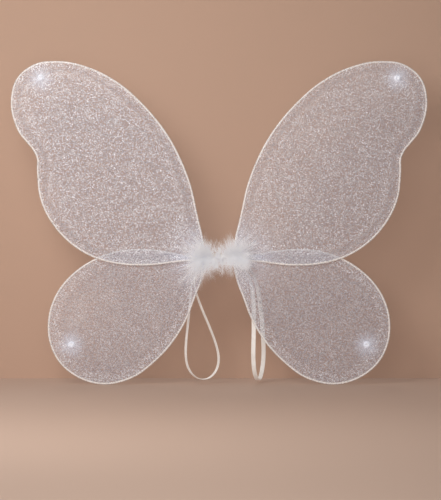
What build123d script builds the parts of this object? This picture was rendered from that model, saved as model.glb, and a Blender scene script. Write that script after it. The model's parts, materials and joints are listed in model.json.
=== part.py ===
from build123d import *
import math
import os

# Child's dress-up fairy wings: four covered-wire loops sleeved in glitter net, bound together
# at a taped hub under a marabou trim, with two flat elastic arm loops behind.
# Millimetres. Origin: centre of the taped hub. +X to the viewer's right, +Z up,
# -Y is the face that is seen when worn, +Y is the wearer's back.

# ---- wings, to the wire's middle ----
upper_reach = 281.4        # furthest X of an upper loop
upper_rise = 266.0         # its highest Z
lower_reach = 231.5        # furthest X of a lower loop
lower_drop = 171.0         # its lowest Z, below the hub
upper_tip = (223.6, 244.0)  # gathered tip of the sleeve, on the outline as listed below
lower_tip = (182.6, -118.0)

# ---- covered wire ----
wire_diameter = 2.2
root_gap = 0.3             # between the two ends of one loop, side by side at its root
root_straight = 2.6        # straight wire under the root thread

# ---- net sleeves ----
net_wall = 0.25            # one layer of glitter-coated net
net_clearance = 0.05       # between net and wire
mouth_clearance = 1.0      # from the root thread to the sleeve's mouth
wing_gap = 0.5             # between upper and lower loops at their roots

# ---- hub ----
hub_half_length = 11.0
tail_gap = 0.1             # between the wire tails inside the hub
tail_short = 9.0           # far end of a tail, past the middle
tail_proud = 0.6           # how far a tail stands out of the tape
tape_clearance = 0.1
tape_wall = 0.6
fold_clearance = 0.35      # between the tails and a folded loop
axis_to_wire = 0.3         # from the bending line to the end of a loop

# ---- thread ----
thread_clearance = 0.05
thread_wall = 0.5
thread_length = 2.2
thread_inset = 0.2

# ---- gathered tip of each sleeve ----
tuft_radius = 3.5
tuft_height = 1.4
neck_radius = 1.3
neck_height = 1.2
tip_thread_radius = 0.45

# ---- marabou trim ----
string_radius = 1.2
string_gap = 0.75          # from the elastic's turns to the string in front of them
trim_inset = 0.5           # the trim is this much shorter than the hub at each end
down_deep = 15.0           # half sizes of the down
down_high = 17.0
down_behind = 1.3          # its middle is this far behind the string's
down_back = -2.0           # the down stays in front of this Y
string_clearance = 0.05

# ---- elastic ----
elastic_width = 6.0
elastic_thick = 1.0
hitch_centre = 5.0         # X of the band around the hub
hitch_clearance = 0.3
knot_past = 1.5            # from the band around the hub to the face that the loop comes out of
knot_margin = 1.6          # of the knot above and below the loop's two ends
knot_cover = 0.3           # of the knot behind them
knot_round = 1.2
exit_y = 7.5               # middle of the loop's two ends at the knot
exit_high = -5.2
exit_low = -8.8
band_step = 7.0            # spacing of the sections along a band

# Loop outlines, seen from the front, right side: X from the root's bend outwards, and Z.
# They are stretched to the reach and rise above.
upper_outline = [
    (2.3, 3.6),
    (3, 9),
    (4.8, 27),
    (10.4, 51.5),
    (23.8, 107),
    (56.2, 172.6),
    (85.6, 208),
    (116.6, 235.5),
    (155.6, 256.5),
    (198.6, 266),
    (232.6, 261.5),
    (253.6, 245),
    (263, 212),
    (257.6, 183),
    (251.6, 170),
    (241.6, 157.5),
    (232.6, 146.3),
    (228.1, 136.3),
    (227.6, 118),
    (222.1, 77),
    (200.6, 38.5),
    (159.6, 5.5),
    (111.6, -8),
    (83.6, -9),
    (27.6, -3.4),
    (7.6, -1.9),
]
lower_outline = [
    (29.6, 3.5),
    (59.6, 8.8),
    (88.1, 11.2),
    (116.6, 9),
    (142.6, 1.2),
    (171.6, -15.5),
    (192.6, -35.5),
    (206.6, -59),
    (213.1, -86),
    (211.1, -114),
    (199.1, -140),
    (172.6, -162),
    (138.6, -171),
    (105.6, -164.5),
    (63.6, -134.5),
    (25.6, -80.5),
    (16.4, -56.5),
    (6.1, -28),
    (2.8, -12),
    (2.2, -3.8),
]

# Routes of the elastic loops: out of the knot, down, round and back up beside the first strand.
left_route = [
    (-16, 8.4, -5.0),
    (-23, 9.6, -7.4),
    (-30, 11.6, -14.5),
    (-35, 13.2, -25),
    (-38, 14.0, -39),
    (-39.5, 13.8, -60),
    (-42, 13.2, -85),
    (-45, 12.4, -112),
    (-46, 12.0, -136),
    (-41.5, 13.2, -154),
    (-30, 16.3, -166),
    (-14.5, 20.5, -166.5),
    (-3, 23.6, -155),
    (0.5, 24.6, -137),
    (-5, 23.1, -115),
    (-14, 20.6, -92),
    (-24, 18.0, -69),
    (-31.5, 15.9, -48),
    (-34.5, 14.6, -35),
    (-32, 12.8, -24.5),
    (-26, 10.9, -15.5),
    (-18, 9.0, -9.6),
]
right_route = [
    (18, 8.6, -4.2),
    (28, 10.6, -4.6),
    (38, 14.2, -9.5),
    (46, 19.5, -20),
    (51.5, 26.5, -36),
    (55.5, 34.5, -57),
    (58.5, 43, -82),
    (61, 50.5, -109),
    (62, 54, -134),
    (60, 49.5, -154),
    (56.5, 40, -167.5),
    (52, 27.5, -168.5),
    (48, 17, -155.5),
    (46.6, 13.2, -134),
    (47.4, 13.4, -108),
    (47.6, 14, -82),
    (47.2, 14.2, -58),
    (44.8, 14.2, -38),
    (39.5, 13.4, -22.5),
    (31, 11.6, -12),
    (20.5, 9.4, -8.2),
]
left_turn = -15.0          # heading of the left loop's width, from +Y, in degrees
right_turn = -72.0
turn_start = 4.0           # the band starts to turn this far below the hub's middle
turn_end = 62.0

wire_radius = wire_diameter / 2
thread_half = wire_radius + thread_clearance + thread_wall
plane_offset = thread_half + wing_gap / 2
fold_axis = hub_half_length + tail_proud + fold_clearance + plane_offset + thread_half
root_z = (wire_diameter + root_gap) / 2
root_x = fold_axis + axis_to_wire
bend_x = root_x + root_straight
thread_end = axis_to_wire + thread_inset + thread_length
mouth_radius = math.hypot(thread_end, root_z + thread_half) + mouth_clearance
tail_pitch = wire_diameter + tail_gap
cavity_half = wire_radius + net_clearance
sleeve_half = cavity_half + net_wall
core_radius = math.hypot(tail_pitch, tail_pitch) + wire_radius
tape_inner = core_radius + tape_clearance
tape_outer = tape_inner + tape_wall
hitch_inner = tape_outer + hitch_clearance
hitch_outer = hitch_inner + elastic_thick
knot_reach = hitch_centre + elastic_width / 2 + knot_past
string_centre = -(hitch_outer + string_gap + string_radius)
down_centre = string_centre + down_behind
trim_half_length = hub_half_length - trim_inset
front_view = Plane(origin=(0, 0, 0), x_dir=(1, 0, 0), z_dir=(0, -1, 0))


def stretched(points, outline, reach, rise):
    """Points of an outline, stretched from the root so that it reaches the given size."""
    across = (reach - bend_x) / max(x for x, z in outline)
    up = rise / max(abs(z) for x, z in outline)
    return [(bend_x + x * across, z * up) for x, z in points]


def tangent_at(before, point, after):
    """Tangent, at point, of the circle through three points."""
    back = point - before
    ahead = after - point
    return (back * ahead.dot(ahead) + ahead * back.dot(back)).normalized()


def biarc_joint(start, start_tangent, end, end_tangent):
    """Where two arcs from start to end join, and their tangent there."""
    span = end - start
    both = start_tangent + end_tangent
    unlike = 2 * (1 - start_tangent.dot(end_tangent))
    along = span.dot(both)
    if unlike < 1e-9:
        reach = span.dot(span) / (2 * along)
    else:
        reach = (math.sqrt(along * along + unlike * span.dot(span)) - along) / unlike
    middle = (start + end + (start_tangent - end_tangent) * reach) / 2
    chord = (middle - start).normalized()
    return middle, chord * (2 * chord.dot(start_tangent)) - start_tangent


def loop_nodes(outline):
    """Points and tangents between the arcs of a loop's centre line, from root to root."""
    points = [Vector(bend_x, root_z)]
    points += [Vector(x, z) for x, z in outline]
    points += [Vector(bend_x, -root_z)]
    tangents = [Vector(1, 0)]
    tangents += [tangent_at(*points[i - 1:i + 2]) for i in range(1, len(points) - 1)]
    tangents += [Vector(-1, 0)]
    nodes = [(Vector(root_x, root_z), tangents[0]), (points[0], tangents[0])]
    for i in range(1, len(points)):
        nodes.append(biarc_joint(points[i - 1], tangents[i - 1], points[i], tangents[i]))
        nodes.append((points[i], tangents[i]))
    nodes.append((Vector(root_x, -root_z), tangents[-1]))
    return nodes


def loop_edges(outline, outwards=0.0):
    """The loop's centre line in the X-Z plane, or a line that far outside it."""
    nodes = loop_nodes(outline)
    moved = [(point + Vector(-t.Y, t.X) * outwards, t) for point, t in nodes]
    edges = [Line(moved[0][0], moved[1][0])]
    for (point, tangent), (after, _) in zip(moved[1:-2], moved[2:-1]):
        edges.append(TangentArc(point, after, tangent=tangent))
    edges.append(Line(moved[-2][0], moved[-1][0]))
    return edges


def in_front_view(shape, y):
    """Moves a shape drawn in the X-Z plane, as X-Y, to that plane at the given Y."""
    return front_view.offset(-y) * shape


def wire_loop(outline, y):
    path = in_front_view(Wire(loop_edges(outline)), y)
    section = Plane(origin=(root_x, y, root_z), z_dir=(1, 0, 0)) * Circle(wire_radius)
    return sweep(section, path=path)


def net_sleeve(outline, y):
    """A flat bag of net around the wire loop, open at the root."""
    mouth = Pos(fold_axis, 0) * Circle(mouth_radius)

    def slab(half):
        edges = loop_edges(outline, half)
        close = Line(edges[-1] @ 1, edges[0] @ 0)
        flat = (make_face(edges + [close]) - mouth).faces().sort_by(SortBy.AREA)[-1]
        return in_front_view(extrude(flat, amount=half, both=True), y)

    return slab(sleeve_half) - slab(cavity_half)


def root_thread(y):
    """Thread wound round the two ends of one loop."""
    inner = wire_radius + thread_clearance
    plane = Plane(origin=(root_x + thread_inset, y, 0), x_dir=(0, 0, 1), z_dir=(1, 0, 0))
    ring = SlotCenterToCenter(2 * root_z, 2 * thread_half)
    ring -= SlotCenterToCenter(2 * root_z, 2 * inner)
    return extrude(plane * ring, amount=thread_length)


def tip_gather(tip, face_y):
    """The tied-off end of the sleeve: a short neck and a flared tuft."""
    x, z = tip
    plane = Plane(origin=(x, face_y, z), x_dir=(1, 0, 0), z_dir=(0, -1, 0))
    neck = extrude(plane * Circle(neck_radius), amount=neck_height)
    tuft = extrude(plane.offset(neck_height) * Circle(tuft_radius), amount=tuft_height)
    tuft = chamfer(tuft.edges().sort_by(Axis.Y)[-1], tuft_height / 2)
    return neck + tuft


def tip_thread(tip, face_y):
    x, z = tip
    plane = Plane(origin=(x, face_y - neck_height / 2, z), x_dir=(1, 0, 0), z_dir=(0, -1, 0))
    return plane * Torus(neck_radius + tip_thread_radius + thread_clearance, tip_thread_radius)


def wire_tails(side):
    """Four tails of one side's two loops, laid side by side through the hub."""
    places = {
        1: [(-1, 1), (1, 1), (-1, -1), (0.5, 0)],
        -1: [(0, 1), (-0.5, 0), (0, -1), (1, -1)],
    }
    outer_end = side * (hub_half_length + tail_proud)
    inner_end = -side * tail_short
    length = abs(outer_end - inner_end)
    middle = (outer_end + inner_end) / 2
    rods = []
    for y, z in places[side]:
        rod = Cylinder(wire_radius, length, rotation=(0, 90, 0))
        rods.append(Pos(middle, y * tail_pitch, z * tail_pitch) * rod)
    return Compound(children=rods)


def hub_tape():
    tube = Cylinder(tape_outer, 2 * hub_half_length) - Cylinder(tape_inner, 2 * hub_half_length)
    return Rot(0, 90, 0) * tube


def marabou_string():
    rod = Cylinder(string_radius, 2 * trim_half_length, rotation=(0, 90, 0))
    return Pos(0, string_centre, 0) * rod


def marabou_down():
    """The outer shape of the down, clear of the hub, its elastic and the string."""
    egg = scale(Sphere(1), by=(trim_half_length, down_deep, down_high))
    keep = Pos(0, down_back - 50, 0) * Box(100, 100, 100)
    around_hub = Cylinder(hitch_outer + 2 * hitch_clearance, 100, rotation=(0, 90, 0))
    hole = Cylinder(string_radius + string_clearance, 100, rotation=(0, 90, 0))
    return (Pos(0, down_centre, 0) * egg & keep) - around_hub - Pos(0, string_centre, 0) * hole


def elastic_hitch(side):
    """The elastic's turn around the hub and the knot that the loop hangs from."""
    ring = Pos(side * hitch_centre, 0, 0) * Cylinder(hitch_outer, elastic_width, rotation=(0, 90, 0))
    near = side * (hitch_centre - elastic_width / 2)
    far = side * knot_reach
    low = exit_low - knot_margin
    high = exit_high + knot_margin
    back = exit_y + elastic_width / 2 + knot_cover
    knot = Box(abs(far - near), back, high - low)
    knot = Pos((near + far) / 2, back / 2, (low + high) / 2) * knot
    back_edges = knot.edges().filter_by(Axis.X).group_by(Axis.Y)[-1]
    knot = fillet(back_edges, knot_round)
    solid = ring + knot
    return solid - Cylinder(hitch_inner, 100, rotation=(0, 90, 0))


def corner_radii(route):
    """For each corner of a route, 0.45 of its shorter run over the tangent of half its turn."""
    radii = []
    for before, point, after in zip(route, route[1:], route[2:]):
        into = Vector(*point) - Vector(*before)
        out = Vector(*after) - Vector(*point)
        half_turn = math.radians(into.get_angle(out)) / 2
        radii.append(0.45 * min(into.length, out.length) / math.tan(half_turn))
    return radii


def elastic_loop(route, full_turn, side):
    """A flat band along the route; its width starts along Y and turns as the band comes down."""
    exit_x = side * knot_reach
    corners = [(exit_x, exit_y, exit_high), *route, (exit_x, exit_y, exit_low)]
    radii = corner_radii(corners)
    path = FilletPolyline(*corners, radius=radii)
    stations = math.ceil(path.length / band_step)
    sections = []
    for i in range(stations + 1):
        place = path @ (i / stations)
        ahead = path % (i / stations)
        down = (-place.Z - turn_start) / (turn_end - turn_start)
        turn = math.radians(full_turn) * min(1, max(0, down))
        wide = Vector(math.sin(turn), math.cos(turn), 0)
        if i in (0, stations):
            ahead = Vector(side if i == 0 else -side, 0, 0)
        wide = (wide - ahead * wide.dot(ahead)).normalized()
        plane = Plane(origin=place, x_dir=wide, z_dir=ahead)
        sections.append(plane * Rectangle(elastic_width, elastic_thick))
    band = loft(sections, ruled=True)
    section = elastic_width * elastic_thick
    print(f"elastic length {path.length:.1f} radii {min(radii):.1f} to {max(radii):.1f}")
    print(f"volume {band.volume:.0f}, section times length {section * path.length:.0f}")
    return band


def write(name, shape):
    export_step(shape, f"parts/{name}.step")


def write_pair(name, shape):
    """Writes a right-hand piece and its mirror image on the left."""
    write(name.replace("SIDE", "right"), shape)
    write(name.replace("SIDE", "left"), mirror(shape, about=Plane.YZ))


os.makedirs("parts", exist_ok=True)

for level, drawn, tip_drawn, reach, rise, y in (
    ("upper", upper_outline, upper_tip, upper_reach, upper_rise, -plane_offset),
    ("lower", lower_outline, lower_tip, lower_reach, lower_drop, plane_offset),
):
    outline = stretched(drawn, drawn, reach, rise)
    tip = stretched([tip_drawn], drawn, reach, rise)[0]
    face_y = y - sleeve_half
    write_pair(f"{level}_SIDE_wire", wire_loop(outline, y))
    write_pair(f"{level}_SIDE_sleeve", net_sleeve(outline, y))
    write_pair(f"{level}_SIDE_root_thread", root_thread(y))
    write_pair(f"{level}_SIDE_tip_gather", tip_gather(tip, face_y))
    write_pair(f"{level}_SIDE_tip_thread", tip_thread(tip, face_y))

write("right_wire_tails", wire_tails(1))
write("left_wire_tails", wire_tails(-1))
write("hub_tape", hub_tape())
write("marabou_string", marabou_string())
write("marabou_down", marabou_down())
write("right_elastic_hitch", elastic_hitch(1))
write("left_elastic_hitch", elastic_hitch(-1))
write("right_elastic_loop", elastic_loop(right_route, right_turn, 1))
write("left_elastic_loop", elastic_loop(left_route, left_turn, -1))
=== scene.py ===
import json
import math
import random
import bmesh
import bpy
import numpy as np
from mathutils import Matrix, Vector, geometry, noise


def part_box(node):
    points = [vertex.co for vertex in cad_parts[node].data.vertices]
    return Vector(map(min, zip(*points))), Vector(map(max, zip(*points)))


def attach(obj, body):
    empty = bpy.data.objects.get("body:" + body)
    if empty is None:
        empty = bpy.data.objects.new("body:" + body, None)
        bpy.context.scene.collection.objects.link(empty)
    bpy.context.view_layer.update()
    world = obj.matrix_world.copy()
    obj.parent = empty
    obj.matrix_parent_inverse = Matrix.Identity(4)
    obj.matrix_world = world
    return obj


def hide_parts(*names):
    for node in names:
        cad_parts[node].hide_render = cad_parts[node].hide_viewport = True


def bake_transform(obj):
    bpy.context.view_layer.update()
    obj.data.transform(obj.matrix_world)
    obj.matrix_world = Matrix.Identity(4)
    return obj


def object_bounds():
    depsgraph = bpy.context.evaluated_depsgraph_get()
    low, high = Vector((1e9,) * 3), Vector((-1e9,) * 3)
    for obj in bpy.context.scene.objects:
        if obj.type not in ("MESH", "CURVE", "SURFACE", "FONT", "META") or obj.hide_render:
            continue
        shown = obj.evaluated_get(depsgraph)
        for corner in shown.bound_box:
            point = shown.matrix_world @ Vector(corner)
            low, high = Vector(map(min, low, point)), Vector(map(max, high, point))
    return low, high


# Fairy wings. -Y is the face that is seen when worn; the elastic loops hang behind, at +Y.
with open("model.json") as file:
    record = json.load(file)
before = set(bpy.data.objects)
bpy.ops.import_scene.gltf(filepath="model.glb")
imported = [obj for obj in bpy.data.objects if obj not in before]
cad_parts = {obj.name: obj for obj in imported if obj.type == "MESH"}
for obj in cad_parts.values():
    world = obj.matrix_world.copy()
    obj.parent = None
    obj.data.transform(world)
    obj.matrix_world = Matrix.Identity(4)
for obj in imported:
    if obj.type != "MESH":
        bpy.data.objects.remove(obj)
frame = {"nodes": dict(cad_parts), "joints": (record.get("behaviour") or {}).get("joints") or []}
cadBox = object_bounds()
nodes = frame["nodes"]
mm = 0.001
sides = {"left": -1, "right": 1}
print("frame loaded,", len(nodes), "nodes")


class Flow:  # one socket of a material's nodes; sums on it add the nodes that work them out
    def __init__(self, tree, socket=None):
        self.tree = tree
        self.socket = socket

    def node(self, kind, settings=None, inputs=None, output=0):
        made = self.tree.nodes.new(kind)
        for name, value in (settings or {}).items():
            setattr(made, name, value)
        for name, value in (inputs or {}).items():
            if isinstance(value, Flow):
                self.tree.links.new(value.socket, made.inputs[name])
            else:
                made.inputs[name].default_value = value
        return Flow(self.tree, made.outputs[output] if len(made.outputs) else None)

    def other(self, output):  # another output of the node that this socket belongs to
        return Flow(self.tree, self.socket.node.outputs[output])

    def sum(self, kind, first, second=0.0):
        return self.node("ShaderNodeMath", {"operation": kind}, {0: first, 1: second})

    def __add__(self, other):
        return self.sum("ADD", self, other)

    def __radd__(self, other):
        return self.sum("ADD", other, self)

    def __sub__(self, other):
        return self.sum("SUBTRACT", self, other)

    def __rsub__(self, other):
        return self.sum("SUBTRACT", other, self)

    def __mul__(self, other):
        return self.sum("MULTIPLY", self, other)

    def __rmul__(self, other):
        return self.sum("MULTIPLY", other, self)

    def __pow__(self, other):
        return self.sum("POWER", self, other)

    def __rpow__(self, other):
        return self.sum("POWER", other, self)

    def __lt__(self, other):
        return self.sum("LESS_THAN", self, other)

    def __gt__(self, other):
        return self.sum("GREATER_THAN", self, other)

    def ramp(self, low, high, fromValue=0.0, toValue=1.0):  # smooth step between two values
        return self.node(
            "ShaderNodeMapRange",
            {"interpolation_type": "SMOOTHSTEP"},
            {0: self, 1: low, 2: high, 3: fromValue, 4: toValue},
        )

    def tint(self, first, second):  # self is how much of the second colour shows
        return self.node(
            "ShaderNodeMix", {"data_type": "RGBA"}, {0: self, 6: first, 7: second}, 2
        )


def newFinish(name):
    made = bpy.data.materials.new(name)
    made.use_nodes = True
    made.node_tree.nodes.clear()
    return made, Flow(made.node_tree)


def finishWith(flow, inputs, constants=None):
    # varying values and links first, then what is the same all over
    shader = flow.node("ShaderNodeBsdfPrincipled", {}, {**(constants or {}), **inputs})
    flow.node("ShaderNodeOutputMaterial", {}, {"Surface": shader})


def wherePoint(flow):
    return flow.node("ShaderNodeTexCoord", {}, {}, "Object")


# camera, studio and light

lookout = {
    "lens": 158.9,
    "away": 3.0,  # metres from the aim
    "elevation": 0.8,  # degrees
    "aim": (2.0, 0.0, 10.9),  # millimetres
}


def placeCamera():
    data = bpy.data.cameras.new("front view")
    data.lens = lookout["lens"]
    eye = bpy.data.objects.new("front_view", data)
    tilt = math.radians(lookout["elevation"])
    back = Vector((0, -math.cos(tilt), math.sin(tilt)))
    eye.location = Vector(lookout["aim"]) * mm + back * lookout["away"]
    eye.rotation_euler = (math.pi / 2 - tilt, 0, 0)
    bpy.context.scene.collection.objects.link(eye)
    bpy.context.scene.camera = eye


studio = {
    "wallBehind": 122.0,  # from the wings' middle to the wall
    "halfWidth": 3.0,
    "tall": 3.0,
    "lampTint": (1.0, 0.97, 0.93),
    "wall": (0.60, 0.405, 0.305, 1),
    "floor": (0.55, 0.40, 0.32, 1),
    "lamps": {  # place, size, watts
        "front": ((-0.42, -0.90, 0.54), 0.45, 5.7),
        "left": ((-1.35, -1.0, 0.75), 1.0, 1.5),
        "low": ((-0.15, -1.7, 0.19), 0.6, 4.8),
        "behind": ((-0.5, 2.0, 1.4), 1.2, 11.0),
    },
    "fill": 0.22,
    "sky": (0.95, 0.97, 1.0, 1),
}


def flatStage(name, corners, finish):
    mesh = bpy.data.meshes.new(name)
    mesh.from_pydata(corners, [], [(0, 1, 2, 3)])
    mesh.materials.append(finish)
    piece = bpy.data.objects.new(name, mesh)
    bpy.context.scene.collection.objects.link(piece)


def stageFinish(name, shade, oneSided):
    finish, flow = newFinish(name)
    spots = flow.node("ShaderNodeTexNoise", {}, {"Scale": 2.2, "Detail": 3.0})
    spots = spots.ramp(0.3, 0.7, 0.0, 0.10)
    darker = tuple(c * 0.8 for c in shade[:3]) + (1,)
    paper = flow.node(
        "ShaderNodeBsdfPrincipled", {}, {"Base Color": spots.tint(shade, darker), "Roughness": 0.9}
    )
    if oneSided:  # clear from behind and to the lamps, so that the wings' back can be seen
        clear = flow.node("ShaderNodeBsdfTransparent")
        behind = flow.node("ShaderNodeNewGeometry", {}, {}, "Backfacing")
        shadow = flow.node("ShaderNodeLightPath", {}, {}, "Is Shadow Ray")
        gone = flow.sum("MAXIMUM", behind, shadow)
        paper = flow.node("ShaderNodeMixShader", {}, {0: gone, 1: paper, 2: clear})
    flow.node("ShaderNodeOutputMaterial", {}, {"Surface": paper})
    return finish


def buildStudio():
    wide, tall = studio["halfWidth"], studio["tall"]
    low = cadBox[0].z
    back = studio["wallBehind"] * mm
    floorFinish = stageFinish("pale floor", studio["floor"], False)
    wallFinish = stageFinish("pale wall", studio["wall"], True)
    flatStage(
        "floor",
        [(-wide, -wide, low), (wide, -wide, low), (wide, wide, low), (-wide, wide, low)],
        floorFinish,
    )
    flatStage(
        "wall",
        [(-wide, back, low), (wide, back, low), (wide, back, tall), (-wide, back, tall)],
        wallFinish,
    )
    for name, (place, size, power) in studio["lamps"].items():
        lamp = bpy.data.lights.new(name, "AREA")
        lamp.energy = power
        lamp.size = size
        lamp.color = studio["lampTint"]
        spot = bpy.data.objects.new(name, lamp)
        spot.location = place
        spot.rotation_euler = (-Vector(place)).to_track_quat("-Z", "Y").to_euler()
        bpy.context.scene.collection.objects.link(spot)
    world = bpy.data.worlds.new("studio")
    bpy.context.scene.world = world
    world.use_nodes = True
    flow = Flow(world.node_tree)
    world.node_tree.nodes.clear()
    sky = flow.node(
        "ShaderNodeBackground", {}, {"Color": studio["sky"], "Strength": studio["fill"]}
    )
    flow.node("ShaderNodeOutputWorld", {}, {"Surface": sky})
    bpy.context.scene.view_settings.view_transform = "Standard"


placeCamera()
buildStudio()
print("camera and studio")


# mesh helpers


def newPiece(name, points, faces, finish):
    mesh = bpy.data.meshes.new(name)
    mesh.from_pydata([tuple(p) for p in points], [], faces)
    mesh.materials.append(finish)
    mesh.validate()
    mesh.polygons.foreach_set("use_smooth", [True] * len(mesh.polygons))
    mesh.update()
    piece = bpy.data.objects.new(name, mesh)
    bpy.context.scene.collection.objects.link(piece)
    return piece


def tube(rings, closed=False, capped=True):
    # rings are lists of points; faces join each ring to the next
    around = len(rings[0])
    points = [p for ring in rings for p in ring]
    faces = []
    count = len(rings)
    for i in range(count if closed else count - 1):
        a, b = i * around, ((i + 1) % count) * around
        for j in range(around):
            k = (j + 1) % around
            faces.append((a + j, a + k, b + k, b + j))
    if capped and not closed:
        faces.append(tuple(reversed(range(around))))
        faces.append(tuple(range((count - 1) * around, count * around)))
    return points, faces


def framesAlong(path, closed=False):
    # a direction and two across it at every point, turning as little as they can
    ahead = []
    for i in range(len(path)):
        before = path[i - 1] if i or closed else path[0]
        after = path[(i + 1) % len(path)] if i < len(path) - 1 or closed else path[-1]
        ahead.append((after - before).normalized())
    across = ahead[0].orthogonal().normalized()
    frames = []
    for way in ahead:
        across = (across - way * across.dot(way)).normalized()
        frames.append((way, across, way.cross(across)))
    return frames


def cordOf(path, radius, around):
    rings = []
    for point, (_, u, v) in zip(path, framesAlong(path)):
        turns = [math.tau * j / around for j in range(around)]
        rings.append([point + (u * math.cos(t) + v * math.sin(t)) * radius for t in turns])
    return tube(rings)


def joined(parts):
    points, faces = [], []
    for morePoints, moreFaces in parts:
        start = len(points)
        points += morePoints
        faces += [tuple(start + i for i in face) for face in moreFaces]
    return points, faces


# finishes


def ribbedElastic():
    finish, flow = newFinish("woven elastic")
    place = wherePoint(flow)
    weave = flow.node("ShaderNodeTexVoronoi", {}, {"Vector": place, "Scale": 2600.0})
    worn = flow.node("ShaderNodeTexNoise", {}, {"Vector": place, "Scale": 90.0, "Detail": 4.0})
    shade = worn.ramp(0.35, 0.75).tint((0.84, 0.815, 0.78, 1), (0.95, 0.935, 0.91, 1))
    knit = flow.node("ShaderNodeBump", {}, {"Strength": 0.25, "Distance": 0.0002, "Height": weave})
    finishWith(
        flow,
        {"Base Color": shade, "Roughness": worn.ramp(0.3, 0.7, 0.62, 0.78), "Normal": knit},
        # painted glow: the emission brightens the elastic as a painted highlight
        {"Sheen Weight": 0.25, "Emission Color": (1.0, 0.95, 0.90, 1), "Emission Strength": 0.10},
    )
    return finish


def woundThread(name, shade):
    finish, flow = newFinish(name)
    place = wherePoint(flow)
    fibre = flow.node("ShaderNodeTexNoise", {}, {"Vector": place, "Scale": 5200.0, "Detail": 2.0})
    lay = flow.node("ShaderNodeBump", {}, {"Strength": 0.3, "Distance": 0.0001, "Height": fibre})
    darker = tuple(c * 0.82 for c in shade) + (1,)
    finishWith(
        flow,
        {
            "Base Color": fibre.ramp(0.35, 0.65).tint(darker, shade + (1,)),
            "Roughness": fibre.ramp(0.3, 0.7, 0.5, 0.7),
            "Normal": lay,
        },
    )
    return finish


def coveredWire():
    finish, flow = newFinish("covered wire")
    place = wherePoint(flow)
    wrap = flow.node("ShaderNodeTexNoise", {}, {"Vector": place, "Scale": 1500.0, "Detail": 3.0})
    patch = flow.node("ShaderNodeTexNoise", {}, {"Vector": place, "Scale": 60.0, "Detail": 2.0})
    lay = flow.node("ShaderNodeBump", {}, {"Strength": 0.25, "Distance": 0.0002, "Height": wrap})
    shade = (wrap * 0.6 + patch * 0.4).ramp(0.35, 0.65)
    finishWith(
        flow,
        {
            "Base Color": shade.tint((0.86, 0.80, 0.73, 1), (0.97, 0.93, 0.87, 1)),
            "Roughness": patch.ramp(0.3, 0.7, 0.4, 0.6),
            "Normal": lay,
        },
        {"Emission Color": (1.0, 0.93, 0.86, 1), "Emission Strength": 0.16},  # painted glow, standing in for the cover's sheen
    )
    return finish


wireFinish = coveredWire()
elasticFinish = ribbedElastic()
threadFinish = woundThread("white thread", (0.90, 0.89, 0.88))


# arm loops: flat elastic, hanging behind

# Routes from the knot round to the knot, as the loops' own points, in millimetres.
armLoops = {
    "left": {
        "length": 380.0,
        "turn": -28.0,  # heading of the band's width once it hangs, from +Y, in degrees
        "route": [
            (-9.5, 7.5, -5.2), (-16, 8.4, -5.0), (-23, 9.6, -7.4), (-30, 11.6, -14.5),
            (-35, 13.2, -25), (-38, 14.0, -39), (-39.5, 13.8, -60), (-42, 13.2, -85),
            (-45, 12.4, -112), (-46, 12.0, -136), (-41.5, 13.2, -154), (-30, 16.3, -166),
            (-14.5, 20.5, -166.5), (-3, 23.6, -155), (0.5, 24.6, -137), (-5, 23.1, -115),
            (-14, 20.6, -92), (-24, 18.0, -69), (-31.5, 15.9, -48), (-34.5, 14.6, -35),
            (-32, 12.8, -24.5), (-26, 10.9, -15.5), (-18, 9.0, -9.6), (-9.5, 7.5, -8.8),
        ],
    },
    "right": {
        "length": 400.0,
        "turn": -72.0,
        "route": [
            (9.5, 7.5, -5.2), (18, 8.6, -4.2), (28, 10.6, -4.6), (38, 14.2, -9.5),
            (46, 19.5, -20), (51.5, 26.5, -36), (55.5, 34.5, -57), (58.5, 43, -82),
            (61, 50.5, -109), (62, 54, -134), (60, 49.5, -154), (56.5, 40, -167.5),
            (52, 27.5, -168.5), (48, 17, -155.5), (46.6, 13.2, -134), (47.4, 13.4, -108),
            (47.6, 14, -82), (47.2, 14.2, -58), (44.8, 14.2, -38), (39.5, 13.4, -22.5),
            (31, 11.6, -12), (20.5, 9.4, -8.2), (9.5, 7.5, -8.8),
        ],
    },
}
band = {
    "width": 6.0,
    "thick": 1.0,
    "ribs": 6,
    "ribDeep": 0.09,
    "turnStart": 4.0,  # the band turns between these two heights below the hub
    "turnEnd": 62.0,
}


def smoothPath(route):
    # the points of the smooth line that a route's points control
    curve = bpy.data.curves.new("route", "CURVE")
    curve.dimensions = "3D"
    line = curve.splines.new("NURBS")
    line.points.add(len(route) - 1)
    for spot, point in zip(line.points, route):
        spot.co = (*(c * mm for c in point), 1)
    line.order_u = 3
    line.use_endpoint_u = True
    line.resolution_u = 16
    holder = bpy.data.objects.new("route", curve)
    bpy.context.scene.collection.objects.link(holder)
    bpy.context.view_layer.update()
    mesh = bpy.data.meshes.new_from_object(holder)
    path = [v.co.copy() for v in mesh.vertices]
    bpy.data.objects.remove(holder)
    bpy.data.curves.remove(curve)
    bpy.data.meshes.remove(mesh)
    return path


def evenly(path, step):
    # the same line with points an even step apart
    gone = [0.0]
    for a, b in zip(path, path[1:]):
        gone.append(gone[-1] + (b - a).length)
    count = max(2, round(gone[-1] / step))
    line = np.array([tuple(p) for p in path])
    marks = np.linspace(0, gone[-1], count + 1)
    spread = np.stack([np.interp(marks, gone, line[:, k]) for k in range(3)], 1)
    return [Vector(p) for p in spread]


def bandSection():
    # half widths across and through the band, ribbed on both faces, round at its edges
    wide, thick = band["width"] / 2 * mm, band["thick"] / 2 * mm
    across = np.linspace(-1, 1, 4 * band["ribs"] + 1)
    lift = thick - band["ribDeep"] * mm * (0.5 + 0.5 * np.cos(np.pi * band["ribs"] * across))
    lift[0] = lift[-1] = thick * 0.55
    face = [(u * wide, h) for u, h in zip(across, lift)]
    return face + [(u, -h) for u, h in reversed(face)]


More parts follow.
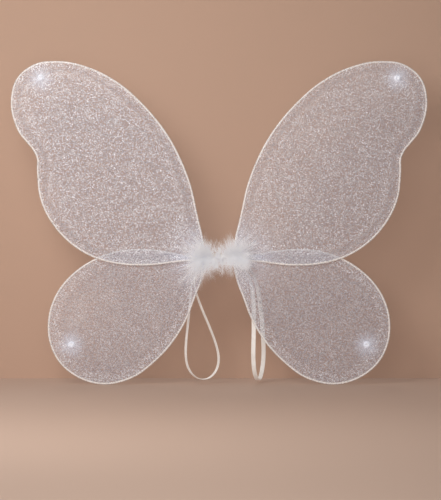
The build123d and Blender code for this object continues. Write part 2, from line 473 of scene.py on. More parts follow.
def bandAlong(path, widths, closed=False):
    rings = []
    for point, (ahead, _, _), wide in zip(path, framesAlong(path, closed), widths):
        wide = (wide - ahead * wide.dot(ahead)).normalized()
        through = ahead.cross(wide)
        rings.append([point + wide * u + through * v for u, v in bandSection()])
    return tube(rings, closed)


def hangLoop(side, facts):
    path = evenly(smoothPath(facts["route"]), 1.2 * mm)
    widths = []
    for point in path:
        down = (-point.z / mm - band["turnStart"]) / (band["turnEnd"] - band["turnStart"])
        turn = math.radians(facts["turn"]) * min(1, max(0, down))
        widths.append(Vector((math.sin(turn), math.cos(turn), 0)))
    points, faces = bandAlong(path, widths)
    piece = newPiece(f"{side}_arm_elastic", points, faces, elasticFinish)
    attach(piece, f"{side}_arm_loop")
    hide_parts(f"{side}_elastic_loop")


for side, facts in armLoops.items():
    hangLoop(side, facts)
print("arm loops")


# wings: two layers of glitter net pulled over each covered wire

net = {
    "rim": 1.4,  # from the wire's middle to the outside of the net
    "rimTurns": (28, 55, 90),  # degrees round the wire at which the net has points
    "slack": 0.35,  # half the space between the layers, away from the wire
    "sink": 24.0,  # from the rim to where the layers are closest
    "free": 3.0,  # from the rim to where the folds have their full height
    "ringStep": 1.7,
    "grid": 2.3,
    "rows": 0.866,  # space between the grid's rows, as a share of it
    "ripple": {"high": 0.12, "perMetre": 38},
    "tuft": {"high": 1.25, "wide": 3.4},  # the front layer, pushed up by the gathered tip
}
gather = {  # the fine points round each gather, and the folds that run out from it
    "tip": {
        "rings": (1.2, 2, 3, 4, 5.2, 6.5, 8, 9.7, 11.6, 13.8, 16.2, 19, 22, 25.5),
        "spacing": (0.55, 0.055),  # between points: at the middle, and more for each millimetre out
        "pleats": 17,
        "high": 0.85,
        "fade": 9.0,
    },
    "root": {
        "rings": tuple(4 + 1.5 * k + 0.03 * k * k for k in range(26)),
        "spacing": (0.5, 0.022),
        "pleats": 46,
        "high": 0.95,
        "fade": 26.0,
    },
}
wings = {  # where each sleeve is tied off, from the CAD pieces
    level: {"tip": f"{level}_right_tip_gather", "root": f"{level}_right_root_thread"}
    for level in ("upper", "lower")
}


def middle(node):
    low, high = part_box(node)
    return (low + high) / 2


def faceOutline(node):
    # the closed run of points round the front face of a CAD node, as X and Z
    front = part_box(node)[0].y
    work = bmesh.new()
    work.from_mesh(nodes[node].data)
    bmesh.ops.remove_doubles(work, verts=work.verts, dist=0.002 * mm)
    near = 0.01 * mm
    flat = {f for f in work.faces if all(abs(v.co.y - front) < near for v in f.verts)}
    after = {}
    for face in flat:
        for loop in face.loops:
            if sum(f in flat for f in loop.edge.link_faces) == 1:
                after[loop.vert.index] = (loop.link_loop_next.vert.index, loop.vert.co.copy())
    runs = []
    while after:
        run, at = [], min(after)  # the same start in every run
        while at in after:
            nextOne, point = after.pop(at)
            run.append((point.x, point.z))
            at = nextOne
        runs.append(run)
    work.free()
    return np.array(max(runs, key=len))


def evenRing(ring, step):
    shut = np.vstack([ring, ring[:1]])
    gone = np.concatenate([[0], np.cumsum(np.linalg.norm(np.diff(shut, axis=0), axis=1))])
    marks = np.linspace(0, gone[-1], round(gone[-1] / step), endpoint=False)
    return np.stack([np.interp(marks, gone, shut[:, k]) for k in (0, 1)], 1)


def inwards(ring):
    ahead = np.roll(ring, -1, 0) - np.roll(ring, 1, 0)
    ahead /= np.linalg.norm(ahead, axis=1)[:, None]
    normal = np.stack([-ahead[:, 1], ahead[:, 0]], 1)
    area = np.sum(ring[:, 0] * np.roll(ring[:, 1], -1) - np.roll(ring[:, 0], -1) * ring[:, 1])
    return normal if area > 0 else -normal


def toRing(points, ring):
    # distance from each point to a closed ring, and whether it is inside
    a, b = ring, np.roll(ring, -1, 0)
    best = np.full(len(points), 1e9)
    inside = np.zeros(len(points), bool)
    for p, q in zip(a, b):
        along = q - p
        t = np.clip(((points - p) @ along) / (along @ along), 0, 1)
        best = np.minimum(best, np.hypot(*(points - p - t[:, None] * along).T))
        crosses = (p[1] > points[:, 1]) != (q[1] > points[:, 1])
        if crosses.any():
            at = p[0] + (points[:, 1] - p[1]) * along[0] / (along[1] or 1e-12)
            inside ^= crosses & (points[:, 0] < at)
    return best, inside


def gatherPoints(centre, facts):
    # rings of points round a gather, closer together near it
    near, more = facts["spacing"]
    found = []
    for ring in facts["rings"]:
        r = ring * mm
        count = max(8, round(math.tau * r / (near * mm + r * more)))
        turns = (np.arange(count) + 0.5 * (len(found) % 2)) * math.tau / count
        found.append(centre + r * np.stack([np.cos(turns), np.sin(turns)], 1))
    return np.vstack(found)


def flatNet(level):
    # flat triangles of one layer: fine at the rim, the tip and the root
    ring = evenRing(faceOutline(f"{level}_right_sleeve"), net["ringStep"] * mm)
    normal = inwards(ring)
    tip = middle(wings[level]["tip"])
    root = middle(wings[level]["root"])
    tip, root = np.array([tip.x, tip.z]), np.array([root.x, root.z])
    rim = net["rim"] * mm
    steps = [rim * (1 - math.cos(math.radians(t))) for t in net["rimTurns"]] + [rim * 2.0]
    fringe = np.vstack([ring + normal * s for s in steps])
    step = net["grid"] * mm
    low, high = ring.min(0), ring.max(0)
    rows = np.arange(low[1], high[1], step * net["rows"])
    wide = [
        np.stack([np.arange(low[0] + (i % 2) * step / 2, high[0], step)] * 2, 1) * (1, 0) + (0, z)
        for i, z in enumerate(rows)
    ]
    wide = np.vstack(wide)
    fine = []
    for centre, facts in ((tip, gather["tip"]), (root, gather["root"])):
        clear = np.hypot(*(wide - centre).T) > facts["rings"][-1] * mm + step * 0.6
        wide = wide[clear]
        fine.append(gatherPoints(centre, facts))
    inner = np.vstack([wide, *fine])
    away, inside = toRing(inner, ring)
    inner = inner[inside & (away > steps[-1] + rim / 2)]
    awayFringe, insideFringe = toRing(fringe, ring)
    fringe = fringe[insideFringe & (awayFringe > 0.05 * mm)]
    spots = np.vstack([ring, fringe, inner])
    edges = [(i, (i + 1) % len(ring)) for i in range(len(ring))]
    points, _, faces, *_ = geometry.delaunay_2d_cdt(
        [Vector(p) for p in spots], edges, [], 1, 1e-7
    )
    points = np.array([tuple(p) for p in points])
    away, _ = toRing(points, ring)
    return {"points": points, "faces": faces, "away": away, "tip": tip, "root": root}


def pleats(points, centre, count, seed):
    # folds that run out from a gather: 0 in the valleys, 1 on the ridges
    dx, dz = (points - centre).T
    turn = np.arctan2(dz, dx)
    r = np.hypot(dx, dz)
    pick = random.Random(seed)
    wave = np.zeros(len(points))
    for share, times in ((0.55, 1.0), (0.3, 1.63), (0.15, 2.37)):
        whole = round(count * times)
        wave += share * np.sin(whole * turn + pick.uniform(0, math.tau))
    return 0.5 + 0.5 * wave, r


def netLayer(level, side, face, flat, seed):
    # face is -1 in front and 1 behind
    sign = sides[side]
    plane = middle(f"{level}_{side}_wire").y
    away = flat["away"] / mm
    rim, tuft, ripple = net["rim"], net["tuft"], net["ripple"]
    wrap = np.sqrt(np.maximum(0, rim**2 - (rim - np.minimum(away, rim)) ** 2))
    fall = np.clip((away - rim) / net["sink"], 0, 1)
    lift = wrap - (rim - net["slack"]) * (0.5 - 0.5 * np.cos(np.pi * fall))
    free = np.clip(away / net["free"], 0, 1)
    fromEnd = {}
    for number, (end, facts) in enumerate(gather.items()):
        fold, r = pleats(flat["points"], flat[end], facts["pleats"], seed + number)
        fromEnd[end] = r / mm
        lift += free * facts["high"] * fold * np.exp(-fromEnd[end] / facts["fade"])
    if face < 0:
        lift += tuft["high"] * np.exp(-((fromEnd["tip"] / tuft["wide"]) ** 2))
    scale = ripple["perMetre"]
    waves = [noise.noise(Vector((x * scale, z * scale, seed))) for x, z in flat["points"]]
    lift += free * ripple["high"] * np.array(waves)
    y = plane + face * lift * mm
    points = [(sign * x, h, z) for (x, z), h in zip(flat["points"], y)]
    outward = face * sign
    faces = [tuple(f) if outward > 0 else tuple(reversed(f)) for f in flat["faces"]]
    return points, faces


glitter = {
    "film": 0.13,  # how much the bare net hides
    "flakes": ((930.0, 0.47, 0.40), (1600.0, 0.45, 0.36)),  # per metre, size, share
    "thread": (0.62, 0.65, 0.79, 1),
    "shadedFlake": (0.17, 0.17, 0.21, 1),
    "glintingFlake": (0.84, 0.84, 0.88, 1),
    "gathered": (0.88, 0.90, 0.96, 1),
    "paintedGlow": 0.20,  # painted glow on the film, the flakes and the gathers, and its colours
    "filmPaintedGlow": (0.08, 0.09, 0.14, 1),
    "flakePaintedGlint": (1.0, 0.98, 0.98, 1),
    "gatherGlow": (0.80, 0.86, 1.0, 1),
    "streaks": {"tip": 7.0, "root": 16.0},
    "reach": {"tip": (0.004, 0.030), "root": (0.008, 0.085), "core": (0.003, 0.0105)},  # metres
    "white": {"tip": 0.76, "root": 0.66, "core": 0.9},
}


def glitterNet(name, level, side):
    finish, flow = newFinish(name)
    sign = sides[side]
    centres = {
        "tip": middle(f"{level}_{side}_tip_gather"),
        "root": middle(f"{level}_{side}_root_thread"),
    }
    place = wherePoint(flow)
    x = flow.node("ShaderNodeSeparateXYZ", {}, {0: place})
    z = x.other(2)

    def around(end):  # distance from a gather, and streaks that run out from it
        dx, dz = x - centres[end].x, z - centres[end].z
        r = (dx * dx + dz * dz) ** 0.5
        turn = flow.sum("ARCTAN2", dz, dx) * glitter["streaks"][end]
        spot = flow.node("ShaderNodeCombineXYZ", {}, {0: turn, 1: r * 14.0, 2: sign * 3.0})
        streak = flow.node("ShaderNodeTexNoise", {}, {"Vector": spot, "Scale": 1.0, "Detail": 3.0})
        return r, streak.ramp(0.36, 0.66)

    tipR, tipStreak = around("tip")
    rootR, rootStreak = around("root")
    # each flake is painted lit or shaded at random: its brightness stands in for the glint it would
    # catch from the lamps
    cover, flakeGlint = None, None
    for scale, size, share in glitter["flakes"]:
        cell = flow.node("ShaderNodeTexVoronoi", {}, {"Vector": place, "Scale": scale})
        chance = flow.node("ShaderNodeSeparateColor", {}, {0: cell.other("Color")})
        shown = (chance < share) * (cell < size)
        lucky = shown * chance.other(1)
        cover = shown if cover is None else flow.sum("MAXIMUM", cover, shown)
        flakeGlint = lucky if flakeGlint is None else flow.sum("MAXIMUM", flakeGlint, lucky)
    patch = flow.node("ShaderNodeTexNoise", {}, {"Vector": place, "Scale": 26.0, "Detail": 3.0})
    knit = flow.node("ShaderNodeTexNoise", {}, {"Vector": place, "Scale": 2400.0, "Detail": 1.0})
    reach, white = glitter["reach"], glitter["white"]
    tipWhite = (tipR.ramp(*reach["tip"], 1.0, 0.0) ** 2.0) * (0.35 + tipStreak * 0.65)
    rootWhite = (rootR.ramp(*reach["root"], 1.0, 0.0) ** 1.6) * (0.45 + rootStreak * 0.55)
    tipCore = tipR.ramp(*reach["core"], 1.0, 0.0) * (0.55 + tipStreak * 0.45)
    gathered = flow.sum("MAXIMUM", tipWhite * white["tip"], rootWhite * white["root"])
    gathered = flow.sum("MAXIMUM", gathered, tipCore * white["core"])
    film = glitter["film"] + gathered * 0.62 + (patch - 0.5) * 0.06 + (knit - 0.5) * 0.10
    alpha = flow.sum("MAXIMUM", film, cover * (0.5 + flakeGlint * 0.5))
    # painted glint: flakes range from a painted shaded colour to a painted glinting one
    speck = (flakeGlint * 1.25).tint(glitter["shadedFlake"], glitter["glintingFlake"])
    shade = cover.tint(glitter["thread"], speck)
    shade = (gathered * 0.75).tint(shade, glitter["gathered"])
    # painted light: an emitted glow on the film, a painted glint on the brightest flakes, and a
    # painted glow round the gathers
    paintedLight = ((cover * flakeGlint) ** 2.2).tint(glitter["filmPaintedGlow"], glitter["flakePaintedGlint"])
    paintedLight = gathered.tint(paintedLight, glitter["gatherGlow"])
    height = cover * flakeGlint + knit * 0.3
    sparkle = flow.node(
        "ShaderNodeBump", {}, {"Strength": 0.35, "Distance": 0.0003, "Height": height}
    )
    finishWith(
        flow,
        {
            "Base Color": shade,
            "Alpha": alpha,
            "Roughness": 0.62 - cover * 0.30,
            "Metallic": cover * flakeGlint * 0.25,
            "Emission Color": paintedLight,
            "Normal": sparkle,
        },
        {"Sheen Weight": 0.2, "Emission Strength": glitter["paintedGlow"]},
    )
    return finish


def wingArea(flat):
    total = 0.0
    for a, b, c in flat["faces"]:
        p, q, r = (flat["points"][i] for i in (a, b, c))
        total += abs((q[0] - p[0]) * (r[1] - p[1]) - (r[0] - p[0]) * (q[1] - p[1])) / 2
    return total


def buildSleeves():
    for number, level in enumerate(wings):
        flat = flatNet(level)
        for side in sides:
            finish = glitterNet(f"glitter net {level} {side}", level, side)
            for face, word in ((-1, "front"), (1, "back")):
                seed = 10 * number + 3 * sides[side] + face + 20
                points, faces = netLayer(level, side, face, flat, seed)
                piece = newPiece(f"{level}_{side}_net_{word}", points, faces, finish)
                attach(piece, f"{level}_{side}_wing")
                if face < 0:
                    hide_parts(f"{level}_{side}_sleeve")
                wingArea(flat)
        print(level, "net,", len(flat["faces"]), "faces a layer, area", round(wingArea(flat), 4))


buildSleeves()


# gathers: where each sleeve is tied off at its tip and at its root

rosette = {  # rings of the tied-off tip: radius, and height above the wing's face
    "rings": (
        (4.4, 0.05), (3.0, 0.40), (1.9, 0.72), (1.3, 0.95), (1.3, 1.20), (1.8, 1.55),
        (2.5, 2.05), (3.1, 2.50), (2.3, 2.25), (1.4, 1.80), (0.3, 1.50),
    ),
    "pleats": 13,
    "deep": 0.14,  # share of the radius
    "lift": 0.09,  # how far a fold stands up, as a share of the radius
    "sway": 0.05,
    "around": 156,
}
cuff = {  # the sleeve's mouth, gathered into its thread: X, half height, half thickness, pleat
    "rings": (
        (22.5, 4.6, 1.30, 0.10), (20.5, 3.6, 1.48, 0.20), (19.2, 2.9, 1.50, 0.24),
        (18.3, 2.55, 1.34, 0.16), (17.2, 2.45, 1.20, 0.08), (16.1, 2.5, 1.28, 0.14),
        (15.3, 2.8, 1.42, 0.26), (14.7, 3.0, 1.50, 0.34),
    ),
    "pleats": 15,
    "tallShare": 0.35,  # how much of each fold shows in the height
    "rise": {"upper": 1.1, "lower": -1.2},  # how far off the middle its wide end lies
    "around": 150,
}
winding = {
    "radius": 0.24,
    "tip": {"turns": 4, "around": 28, "wide": 0.55, "wobble": 0.06, "end": (0.32, -0.07, -0.35)},
    "root": {"turns": 5, "around": 40, "inset": 0.3, "cross": 0.18, "tail": 4.5, "tailSteps": 11},
}


def gatheredNet():
    finish, flow = newFinish("gathered net")
    place = wherePoint(flow)
    grain = flow.node("ShaderNodeTexVoronoi", {}, {"Vector": place, "Scale": 1500.0})
    patch = flow.node("ShaderNodeTexNoise", {}, {"Vector": place, "Scale": 420.0, "Detail": 3.0})
    chance = flow.node("ShaderNodeSeparateColor", {}, {0: grain.other("Color")})
    fleck = (chance < 0.3) * (grain < 0.45)
    shade = patch.ramp(0.3, 0.7).tint((0.78, 0.80, 0.87, 1), (0.93, 0.95, 1.0, 1))
    height = patch + fleck * 0.3
    folds = flow.node(
        "ShaderNodeBump", {}, {"Strength": 0.3, "Distance": 0.0003, "Height": height}
    )
    finishWith(
        flow,
        {
            "Base Color": fleck.tint(shade, (1.0, 0.99, 1.0, 1)),
            "Alpha": flow.sum("MAXIMUM", patch.ramp(0.3, 0.7, 0.55, 0.85), fleck),
            "Roughness": 0.6 - fleck * 0.3,
            "Normal": folds,
        },
        {
            "Sheen Weight": 0.3,
            "Emission Color": (0.86, 0.89, 1.0, 1),  # painted glow in the folds
            "Emission Strength": 0.20,
        },
    )
    return finish


gatherFinish = gatheredNet()


def tieTip(level, side):
    low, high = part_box(f"{level}_{side}_tip_gather")
    centre = (low + high) / 2
    face = high.y
    pick = random.Random(f"{level}{side}")
    phase, sway = pick.uniform(0, math.tau), pick.uniform(0.5, 1.0)
    rings = []
    for r, up in rosette["rings"]:
        ring = []
        for j in range(rosette["around"]):
            turn = math.tau * j / rosette["around"]
            fold = 0.7 * math.sin(rosette["pleats"] * turn + phase)
            fold += 0.3 * math.sin((2 * rosette["pleats"] + 3) * turn + 2 * phase)
            wide = r * (1 + rosette["deep"] * fold)
            high = up + rosette["lift"] * r * fold
            high += rosette["sway"] * r * sway * math.sin(2 * turn + phase)
            spot = (wide * math.cos(turn), -high, wide * math.sin(turn))
            ring.append(Vector((centre.x, face, centre.z)) + Vector(spot) * mm)
        rings.append(ring)
    points, faces = tube(rings, capped=False)
    piece = newPiece(f"{level}_{side}_tip_rosette", points, faces, gatherFinish)
    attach(piece, f"{level}_{side}_wing")
    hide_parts(f"{level}_{side}_tip_gather")

    facts = winding["tip"]
    low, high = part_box(f"{level}_{side}_tip_thread")
    middleY, r = (low.y + high.y) / 2, (high.x - low.x) / 2 - winding["radius"] * mm * 1.4
    path = []
    count = facts["turns"] * facts["around"]
    for i in range(count + 1):
        turn = math.tau * i / facts["around"]
        wobble = facts["wobble"] * math.sin(1.3 * turn + phase)
        y = middleY + ((i / count - 0.5) * facts["wide"] + wobble) * mm
        wide = r * (0.93 + 0.05 * math.sin(2.6 * turn))
        path.append(Vector((centre.x + wide * math.cos(turn), y, centre.z + wide * math.sin(turn))))
    x, y, z = facts["end"]
    for i in range(1, 9):  # the cut end of the thread
        path.append(path[-1] + Vector((x, y * i, z)) * mm)
    points, faces = cordOf(path, winding["radius"] * mm * 0.8, 7)
    piece = newPiece(f"{level}_{side}_tip_winding", points, faces, threadFinish)
    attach(piece, f"{level}_{side}_wing")
    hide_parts(f"{level}_{side}_tip_thread")


def stadium(share, straight, radius):
    # a point on a slot shape, straight sides along Z, as Y and Z
    half = math.pi * radius
    gone = (share % 1) * (2 * half + 4 * straight)
    if gone < 2 * straight:
        return radius, gone - straight
    gone -= 2 * straight
    if gone < half:
        turn = gone / radius
        return radius * math.cos(turn), straight + radius * math.sin(turn)
    gone -= half
    if gone < 2 * straight:
        return -radius, straight - gone
    turn = (gone - 2 * straight) / radius
    return -radius * math.cos(turn), -straight - radius * math.sin(turn)


def tieRoot(level, side):
    sign = sides[side]
    low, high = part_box(f"{level}_{side}_root_thread")
    centre = (low + high) / 2
    straight = (high.z - low.z) / 2 - (high.y - low.y) / 2
    pick = random.Random(f"root {level}{side}")
    phase = pick.uniform(0, math.tau)
    wideEnd = cuff["rings"][0][0]
    neck = abs(centre.x) / mm
    rings = []
    for x, tall, thick, pleat in cuff["rings"]:
        off = cuff["rise"][level] * max(0, (x - neck) / (wideEnd - neck)) ** 1.2
        ring = []
        for j in range(cuff["around"]):
            turn = math.tau * j / cuff["around"]
            fold = 0.65 * math.sin(cuff["pleats"] * turn + phase)
            fold += 0.35 * math.sin((2 * cuff["pleats"] + 5) * turn + 1.7 * phase)
            y = thick * math.sin(turn) * (1 + pleat * fold)
            z = off + tall * math.cos(turn) * (1 + cuff["tallShare"] * pleat * fold)
            ring.append(Vector((sign * x, centre.y / mm + y, z)) * mm)
        rings.append(ring)
    points, faces = tube(rings, capped=False)
    piece = newPiece(f"{level}_{side}_root_cuff", points, faces, gatherFinish)
    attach(piece, f"{level}_{side}_wing")

    facts = winding["root"]
    r = (high.y - low.y) / 2 - winding["radius"] * mm * 1.6
    count = facts["turns"] * facts["around"]
    start, end = low.x + facts["inset"] * mm, high.x - facts["inset"] * mm
    path = []
    for i in range(count + 1):
        y, z = stadium(i / facts["around"], straight, r * (1 + 0.03 * math.sin(i * 0.37)))
        there = i / count
        cross = facts["cross"] * mm * math.sin(math.tau * there * 2.5 + phase)
        path.append(Vector((start + (end - start) * there + cross, centre.y + y, z)))
    way = Vector((0.1 * sign, 0.25, -1)).normalized()
    step = facts["tail"] / facts["tailSteps"] * mm
    for i in range(1, facts["tailSteps"] + 1):
        path.append(path[-1] + (way + Vector((0.12 * math.sin(i), 0, 0))) * step)
    points, faces = cordOf(path, winding["radius"] * mm, 7)
    piece = newPiece(f"{level}_{side}_root_winding", points, faces, threadFinish)
    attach(piece, f"{level}_{side}_wing")
    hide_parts(f"{level}_{side}_root_thread")


for level in wings:
    for side in sides:
        tieTip(level, side)
        tieRoot(level, side)
print("gathers and threads")


# hub: wire bends, tape, elastic turned round it and knotted


def rodEnds(side):
    # middles of the wire tails' outer ends, as points, lowest Y first
    sign = sides[side]
    node = f"{side}_wire_tails"
    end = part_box(node)[1 if sign > 0 else 0].x
    work = bmesh.new()
    work.from_mesh(nodes[node].data)
    bmesh.ops.remove_doubles(work, verts=work.verts, dist=0.002 * mm)
    seen, ends = set(), []
    for vert in work.verts:
        if vert in seen or abs(vert.co.x - end) > 0.02 * mm:
            continue
        rod, todo = set(), [vert]
        while todo:
            one = todo.pop()
            if one in rod:
                continue
            rod.add(one)
            todo += [e.other_vert(one) for e in one.link_edges]
        seen |= rod
        rim = [v.co for v in rod if abs(v.co.x - end) < 0.02 * mm]
        low = Vector([min(c[k] for c in rim) for k in range(3)])
        high = Vector([max(c[k] for c in rim) for k in range(3)])
        ends.append((low + high) / 2)
    work.free()
    return sorted(ends, key=lambda p: (p.y, -p.z))


wireBend = {
    "fold": (-2.6, 0.4),  # two places from the fold's line; worked out in bendWires, but the bend does not use them
    "into": 0.5,  # how far each end runs into the CAD's wire
    "steps": 16,
    "fit": 0.985,  # share of the wire's radius
}


def bendWires(side):
    # each loop's two ends run from the hub's tails to the wing, over the fold
    sign = sides[side]
    ends = rodEnds(side)
    hinge = next(j for j in frame["joints"] if j["name"] == f"{side}_wing_fold")
    pivot = hinge["pos_m"][0]
    into = sign * wireBend["into"] * mm
    foldStart, foldEnd = (pivot + sign * x * mm for x in wireBend["fold"])
    for level, pair in {"upper": ends[:2], "lower": ends[2:]}.items():
        low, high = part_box(f"{level}_{side}_wire")
        start = low.x if sign > 0 else high.x
        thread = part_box(f"{level}_{side}_root_thread")
        apart = (thread[1].z - thread[0].z - (thread[1].y - thread[0].y)) / 2
        plane = middle(f"{level}_{side}_wire").y
        radius = (high.y - low.y) / 2 * wireBend["fit"]
        parts = []
        for tail, z in zip(sorted(pair, key=lambda p: -p.z), (apart, -apart)):
            goal = Vector((start, plane, z))
            path = []
            for i in range(wireBend["steps"] + 1):
                t = i / wireBend["steps"]
                point = tail.lerp(goal, t * t * (3 - 2 * t))
                point.x = tail.x - into + (goal.x - tail.x + 2 * into) * t
                path.append(point)
            parts.append(cordOf(path, radius, 14))
        points, faces = joined(parts)
        piece = newPiece(f"{level}_{side}_wire_bend", points, faces, wireFinish)
        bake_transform(piece)


tapeWrap = {
    "pitch": 7.0,
    "step": 0.32,  # height of a lap's edge
    "crease": 0.06,
    "around": 72,
    "stations": 96,
    "lip": 0.6,  # how far the ends run in over the wires
    "lipShare": 0.80,
}


def clothTape():
    finish, flow = newFinish("cloth tape")
    place = wherePoint(flow)
    stretched = flow.node("ShaderNodeVectorMath", {"operation": "MULTIPLY"}, {0: place, 1: (1, 3, 3)})
    weave = flow.node("ShaderNodeTexVoronoi", {}, {"Vector": stretched, "Scale": 1600.0})
    soil = flow.node("ShaderNodeTexNoise", {}, {"Vector": place, "Scale": 180.0, "Detail": 4.0})
    shade = soil.ramp(0.35, 0.7).tint((0.83, 0.81, 0.78, 1), (0.91, 0.90, 0.88, 1))
    threads = flow.node(
        "ShaderNodeBump", {}, {"Strength": 0.2, "Distance": 0.0002, "Height": weave}
    )
    finishWith(
        flow,
        {
            "Base Color": shade,
            "Roughness": soil.ramp(0.3, 0.7, 0.55, 0.7),
            "Normal": threads,
        },
    )
    return finish


def wrapTape():
    low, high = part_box("hub_tape")
    half, outer = high.x / mm, high.z / mm
    around, stations = tapeWrap["around"], tapeWrap["stations"]
    rings = []
    for i in range(stations + 1):
        x = -half + 2 * half * i / stations
        ring = []
        for j in range(around):
            turn = math.tau * j / around
            across, up = math.cos(turn), math.sin(turn)
            lap = (x / tapeWrap["pitch"] - j / around) % 1.0
            lift = tapeWrap["step"] * min(1.0, lap / 0.12) * (1 - 0.35 * lap)
            crease = tapeWrap["crease"] * noise.noise(Vector((x * 0.5, 4 * across, 4 * up)))
            r = outer - tapeWrap["step"] + lift + crease
            ring.append(Vector((x, r * across, r * up)) * mm)
        rings.append(ring)
    shrink = tapeWrap["lipShare"]
    lips = []
    for source, sign in ((rings[0], -1), (rings[-1], 1)):
        lip = sign * tapeWrap["lip"] * mm
        lips.append([Vector((p.x - lip, p.y * shrink, p.z * shrink)) for p in source])
    rings = [lips[0], *rings, lips[1]]
    points, faces = tube(rings, capped=False)
    piece = newPiece("hub_tape_wrap", points, faces, clothTape())
    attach(piece, "hub")
    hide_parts("hub_tape")


hitch = {
    "turnSteps": 120,
    "lean": 0.25,  # how far the turn round the hub runs askew
    "overTape": 0.3,
    "knotBand": (3.3, 1.25),  # width and thickness of the band where it is pulled tight
    "knotSteps": 220,
    "knotAround": 18,
    "knotRadius": (1.35, 0.62),  # of the knot's coils: middle, and how much it changes
    "knotLong": 1.178,  # half its size along X
    "knotStretch": 1.28,
    "knotMoved": (1.0, -0.1),  # outwards, and towards the hub
}


def turnRound(side, near):
    # the elastic's one turn round the hub
    sign = sides[side]
    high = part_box(f"{side}_elastic_hitch")[1]
    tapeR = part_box("hub_tape")[1].z / mm
    ringX = near + band["width"] / 2
    r = (high.z / mm + tapeR + hitch["overTape"]) / 2
    path = []
    for i in range(hitch["turnSteps"]):
        turn = math.tau * i / hitch["turnSteps"]
        x = sign * (ringX + hitch["lean"] * math.sin(turn))
        path.append(Vector((x, r * math.cos(turn), r * math.sin(turn))) * mm)
    return bandAlong(path, [Vector((1, 0, 0))] * len(path), closed=True)


def overhandKnot(centre):
    # the same elastic knotted, behind and below the hub
    middleR, change = hitch["knotRadius"]
    path = []
    for i in range(hitch["knotSteps"]):
        t = math.tau * i / hitch["knotSteps"]
        r = (middleR + change * math.cos(3 * t)) * hitch["knotStretch"]
        spot = Vector((hitch["knotLong"] * math.sin(3 * t), r * math.cos(2 * t), r * math.sin(2 * t)))
        path.append((centre + spot) * mm)
    wideHalf, thickHalf = (size / 2 * mm for size in hitch["knotBand"])
    rings = []
    for point, (ahead, _, _) in zip(path, framesAlong(path, True)):
        outward = point - centre * mm
        outward = (outward - ahead * outward.dot(ahead)).normalized()
        wide = ahead.cross(outward)
        ring = []
        for j in range(hitch["knotAround"]):
            turn = math.tau * j / hitch["knotAround"]
            ring.append(
                point + wide * math.cos(turn) * wideHalf + outward * math.sin(turn) * thickHalf
            )
        rings.append(ring)
    return tube(rings, closed=True)


def tieHitch(side):
    low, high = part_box(f"{side}_elastic_hitch")
    near, far = sorted((abs(low.x) / mm, abs(high.x) / mm))
    loop = armLoops[side]["route"]
    out, inward = hitch["knotMoved"]
    x = sides[side] * ((near + far) / 2 + out)
    centre = Vector((x, loop[0][1] + inward, (loop[0][2] + loop[-1][2]) / 2))
    points, faces = joined([turnRound(side, near), overhandKnot(centre)])
    piece = newPiece(f"{side}_elastic_knot", points, faces, elasticFinish)
    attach(piece, "hub")
    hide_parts(f"{side}_elastic_hitch")


wrapTape()
for side in sides:
    bendWires(side)
    tieHitch(side)
print("hub")


# marabou: fine down on a string in front of the hub

marabou = {
    "barbWidth": 0.10,
    "shaftWidth": 2.2,  # in barb widths
    "stations": 6,
    "clearOfNet": 4.9,  # the down stays this far in front of the wings
    "front": -23.5,  # the least Y it reaches
    "overWing": (10.5, 15.5),  # X where it starts to lie over a wing, and where it fully does
    "droop": 0.10,
    "moves": (14.0, 34.0),  # X where the side down would leave the hub's motion and take the wing's; not used
    "seed": 11,
}
plumeFacts = ("plumes", "x", "heading", "reach", "barbs", "barb")  # headings in the X-Z plane
down = {
    "centre": (
        (54, (-18, 18), (0, 360), (6, 13), 125, (6, 12)),
        (34, (-22, 15), (240, 298), (10, 22), 50, (8, 17)),
        (46, (-20, 22), (60, 120), (9, 22), 62, (9, 18)),
    ),
    "left": (
        (48, (-25, -8), (105, 235), (10, 25), 115, (10, 19)),
        (34, (-27, -10), (85, 150), (16, 35), 90, (10, 20)),
        (28, (-28, -10), (200, 265), (15, 34), 90, (10, 20)),
    ),
    "right": (
        (46, (9, 27), (-35, 70), (10, 26), 110, (10, 19)),
        (36, (11, 28), (35, 98), (17, 38), 90, (10, 20)),
        (18, (12, 27), (-72, 0), (13, 30), 80, (9, 18)),
    ),
}


def softDown():
    finish, flow = newFinish("marabou down")
    place = wherePoint(flow)
    patch = flow.node("ShaderNodeTexNoise", {}, {"Vector": place, "Scale": 160.0, "Detail": 3.0})
    finishWith(
        flow,
        {
            "Base Color": patch.ramp(0.3, 0.7).tint((0.90, 0.90, 0.93, 1), (0.99, 0.99, 1.0, 1)),
            "Roughness": patch.ramp(0.3, 0.7, 0.7, 0.9),
        },
        {
            "Sheen Weight": 0.5,
            "Sheen Roughness": 0.5,
            "Emission Color": (0.93, 0.95, 1.0, 1),  # painted glow, standing in for light that the down passes on inside
            "Emission Strength": 0.075,
        },
    )
    return finish


def unit(vectors):
    return vectors / np.linalg.norm(vectors, axis=1)[:, None]


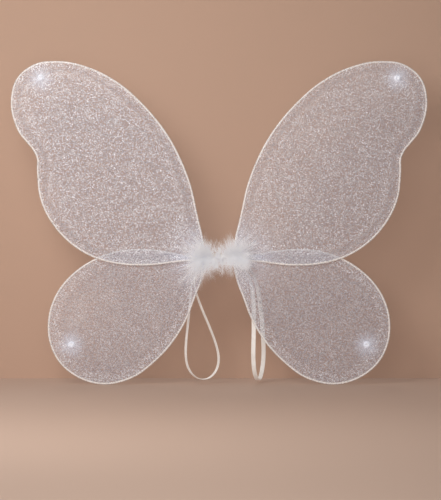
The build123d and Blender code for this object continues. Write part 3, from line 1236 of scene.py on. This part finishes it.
def growPlumes(group, pick, stringY):
    # barbs of every plume: start, direction, length, width
    starts, ways, lengths, widths = [], [], [], []
    for _ in range(group["plumes"]):
        heading = math.radians(pick.uniform(*group["heading"]))
        forward = pick.uniform(0.05, 0.75)
        way = Vector((math.cos(heading), -forward, math.sin(heading))).normalized()
        reach = pick.uniform(*group["reach"])
        x, y = pick.uniform(*group["x"]), stringY + pick.uniform(-1.0, 0.6)
        base = Vector((x, y, pick.uniform(-2.5, 2.5)))
        bendX, bendY = pick.uniform(-0.35, 0.35), pick.uniform(-0.15, 0.25)
        bend = Vector((bendX, bendY, pick.uniform(-0.45, 0.15)))
        for _ in range(group["barbs"]):
            s = pick.random() ** 0.8
            side = Vector([pick.gauss(0, 1) for _ in range(3)])
            side = (side - way * side.dot(way)).normalized()
            starts.append(base + way * (reach * s) + bend * (reach * s * s))
            ways.append((way * (0.75 + 0.6 * s) + side * 0.60).normalized())
            lengths.append(pick.uniform(*group["barb"]) * (1.0 - 0.35 * s))
            widths.append(marabou["barbWidth"] * pick.uniform(0.6, 1.2))
        starts.append(base)  # the plume's own shaft
        ways.append(way)
        lengths.append(reach)
        widths.append(marabou["barbWidth"] * marabou["shaftWidth"])
    return starts, ways, lengths, widths


def downPiece(name, rows, seed):
    pick = random.Random(seed)
    stringY = middle("marabou_string").y / mm
    gathered = [[], [], [], []]
    for row in rows:
        group = dict(zip(plumeFacts, row))
        for store, more in zip(gathered, growPlumes(group, pick, stringY)):
            store += more
    starts, ways = np.array(gathered[0]), np.array(gathered[1])
    lengths, widths = np.array(gathered[2]), np.array(gathered[3])
    dice = np.random.default_rng(seed)
    count, stations = len(starts), marabou["stations"]
    curl = unit(np.cross(ways, unit(dice.normal(size=(count, 3)))))
    sway = unit(np.cross(ways, curl))
    bend, wave = dice.uniform(-0.35, 0.35, count), dice.uniform(0.01, 0.06, count)
    beat, phase = dice.uniform(0.8, 2.4, count), dice.uniform(0, math.tau, count)
    facing = unit(np.cross(ways, unit(dice.normal(size=(count, 3)))))
    edge, over = marabou["overWing"]
    edges = []
    for t in np.linspace(0, 1, stations):
        line = starts + ways * (lengths * t)[:, None] + curl * (lengths * bend * t * t)[:, None]
        line += sway * (lengths * wave * np.sin(math.tau * beat * t + phase) * t)[:, None]
        line[:, 2] -= lengths * marabou["droop"] * t * t
        overWing = np.clip((np.abs(line[:, 0]) - edge) / (over - edge), 0, 1)
        nearest = -marabou["clearOfNet"] * overWing
        line[:, 1] = np.where(overWing > 0, np.minimum(line[:, 1], nearest), line[:, 1])
        line[:, 1] = np.maximum(line[:, 1], marabou["front"])
        half = facing * (widths / 2 * (1 - 0.8 * t))[:, None]
        edges += [line - half, line + half]
    points = np.stack(edges, 1).reshape(-1, 3) * mm
    faces = []
    for i in range(count):
        first = i * 2 * stations
        for k in range(stations - 1):
            a = first + 2 * k
            faces.append((a, a + 1, a + 3, a + 2))
    piece = newPiece(name, points, faces, downFinish)
    print(name, count, "barbs")
    return piece


downFinish = softDown()
for number, (part, rows) in enumerate(down.items()):
    piece = downPiece(f"marabou_{part}", rows, marabou["seed"] + number)
    if part == "centre":
        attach(piece, "hub")
        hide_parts("marabou_down")
    else:
        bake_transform(piece)


# what stays of the CAD, with its finish

for name, node in nodes.items():
    if name.endswith("_wire") or name.endswith("_wire_tails"):
        node.data.materials.clear()
        node.data.materials.append(wireFinish)
    elif "thread" in name or name == "marabou_string":
        node.data.materials.clear()
        node.data.materials.append(threadFinish)
